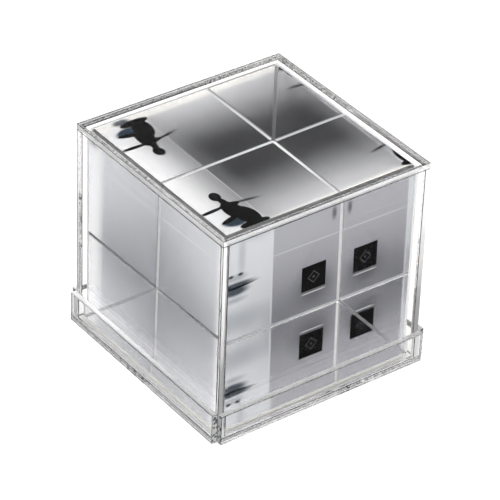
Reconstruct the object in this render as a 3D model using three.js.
// A solid clear glass block on a shallow acrylic tray, under a five-sided acrylic cover.
// A picture card stands behind each of the block's two back faces, and a third lies under it.
// Seen through the glass, the cards are mirrored along the block's far edges.
// Units are millimetres and +Z is up. The origin is the centre of the tray's underside.
// -Y is the front and -X is the left side.

import * as THREE from "three";
import { ConvexGeometry } from "three/addons/geometries/ConvexGeometry.js";

// Driving dimensions
const blockSide = 70; // width and depth of the glass block
const blockHeight = 68.2;
const blockChamfer = 0.7; // bevel on every edge of the block
const sheet = 2; // acrylic sheet of the cover and of the tray's rim
const floorSheet = 1.5; // acrylic sheet of the tray's floor
const edgeBreak = 0.15; // scraped corner on every acrylic edge
const glueLine = 0.02; // cement between two glued sheets
const wallGap = 1.2; // from the block's side to the inside of the cover
const topGap = 0.35; // from the block's top to the underside of the cover's top
const coverClearance = 0.15; // lets the cover drop into the tray's rim
const rimHeight = 10.5; // from the table to the top of the tray's rim
const cardThickness = 0.25;
const airFilm = 0.05; // air on each side of a card, which makes the clear faces mirror

// Sizes that follow from them
const coverInside = blockSide + 2 * wallGap;
const coverOutside = coverInside + 2 * sheet;
const floorSide = coverOutside + 2 * coverClearance;
const cardBottom = floorSheet + airFilm;
const blockBottom = cardBottom + cardThickness + airFilm;
const blockTop = blockBottom + blockHeight;
const coverSeat = floorSheet + glueLine; // the cover's walls stand on the tray's floor
const wallTop = blockTop + topGap;
const wallHeight = wallTop - coverSeat;

function acrylic(opacity) {
  return new THREE.MeshStandardMaterial({
    color: 0xf2f6f7,
    roughness: 0.05,
    metalness: 0,
    transparent: true,
    opacity,
  });
}

function opticalGlass() {
  return new THREE.MeshStandardMaterial({
    color: 0xe9eef0,
    roughness: 0.02,
    metalness: 0,
    transparent: true,
    opacity: 0.4,
  });
}

function photoCard(color) {
  return new THREE.MeshStandardMaterial({ color, roughness: 0.45, metalness: 0 });
}

// A box with every edge bevelled: each corner is cut back along the three axes in turn.
function chamferedBox(width, depth, height, chamfer) {
  const half = [width / 2, depth / 2, height / 2];
  const corners = [];
  for (const x of [-1, 1]) {
    for (const y of [-1, 1]) {
      for (const z of [-1, 1]) {
        for (const face of [0, 1, 2]) {
          const reach = half.map((size, axis) => (axis === face ? size : size - chamfer));
          corners.push(new THREE.Vector3(x * reach[0], y * reach[1], z * reach[2]));
        }
      }
    }
  }
  return new ConvexGeometry(corners);
}

// The four sides, each with the way it faces
const sides = [["front", 0, -1], ["back", 0, 1], ["left", -1, 0], ["right", 1, 0]];

const object = new THREE.Group();

function addPiece(parent, name, geometry, material, x, y, z) {
  const piece = new THREE.Mesh(geometry, material);
  piece.name = name;
  piece.position.set(x, y, z);
  parent.add(piece);
}

// Tray: a floor with a strip of sheet glued to each of its four edges.
// The strips end flush with the floor, which leaves a small open notch at every corner.
function addTray() {
  const tray = new THREE.Group();
  const floor = chamferedBox(floorSide, floorSide, floorSheet, edgeBreak);
  addPiece(tray, "tray_floor", floor, acrylic(0.3), 0, 0, floorSheet / 2);
  const reach = floorSide / 2 + glueLine + sheet / 2;
  for (const [side, x, y] of sides) {
    const width = x === 0 ? floorSide : sheet;
    const depth = x === 0 ? sheet : floorSide;
    const strip = chamferedBox(width, depth, rimHeight, edgeBreak);
    addPiece(tray, `tray_rim_${side}`, strip, acrylic(0.35), x * reach, y * reach, rimHeight / 2);
  }
  object.add(tray);
}

// Cover: the left and right walls run the full depth, the front and back walls stand between them,
// and the top sheet lies on all four.
function addCover() {
  const cover = new THREE.Group();
  const reach = coverInside / 2 + sheet / 2;
  const between = coverInside - 2 * glueLine;
  const middle = coverSeat + wallHeight / 2;
  for (const [side, x, y] of sides) {
    const width = x === 0 ? between : sheet;
    const depth = x === 0 ? sheet : coverOutside;
    const wall = chamferedBox(width, depth, wallHeight, edgeBreak);
    addPiece(cover, `cover_wall_${side}`, wall, acrylic(0.25), x * reach, y * reach, middle);
  }
  const top = chamferedBox(coverOutside, coverOutside, sheet, edgeBreak);
  addPiece(cover, "cover_top", top, acrylic(0.25), 0, 0, wallTop + glueLine + sheet / 2);
  object.add(cover);
}

// Block: solid glass, with the three cards a film of air away from its hidden faces.
// Each card is cut to the full size of its face, so it covers the bevels too.
function addBlock() {
  const block = new THREE.Group();
  const middle = blockBottom + blockHeight / 2;
  const glass = chamferedBox(blockSide, blockSide, blockHeight, blockChamfer);
  addPiece(block, "glass_block", glass, opticalGlass(), 0, 0, middle);
  const reach = blockSide / 2 + airFilm + cardThickness / 2;
  const bottomCard = new THREE.BoxGeometry(blockSide, blockSide, cardThickness);
  const bottomLevel = cardBottom + cardThickness / 2;
  addPiece(block, "picture_bottom", bottomCard, photoCard(0x6d6e72), 0, 0, bottomLevel);
  const backCard = new THREE.BoxGeometry(blockSide, cardThickness, blockHeight);
  addPiece(block, "picture_back", backCard, photoCard(0xb9babd), 0, reach, middle);
  const rightCard = new THREE.BoxGeometry(cardThickness, blockSide, blockHeight);
  addPiece(block, "picture_right", rightCard, photoCard(0xa9aaad), reach, 0, middle);
  object.add(block);
}

addTray();
addBlock();
addCover();

export default object;
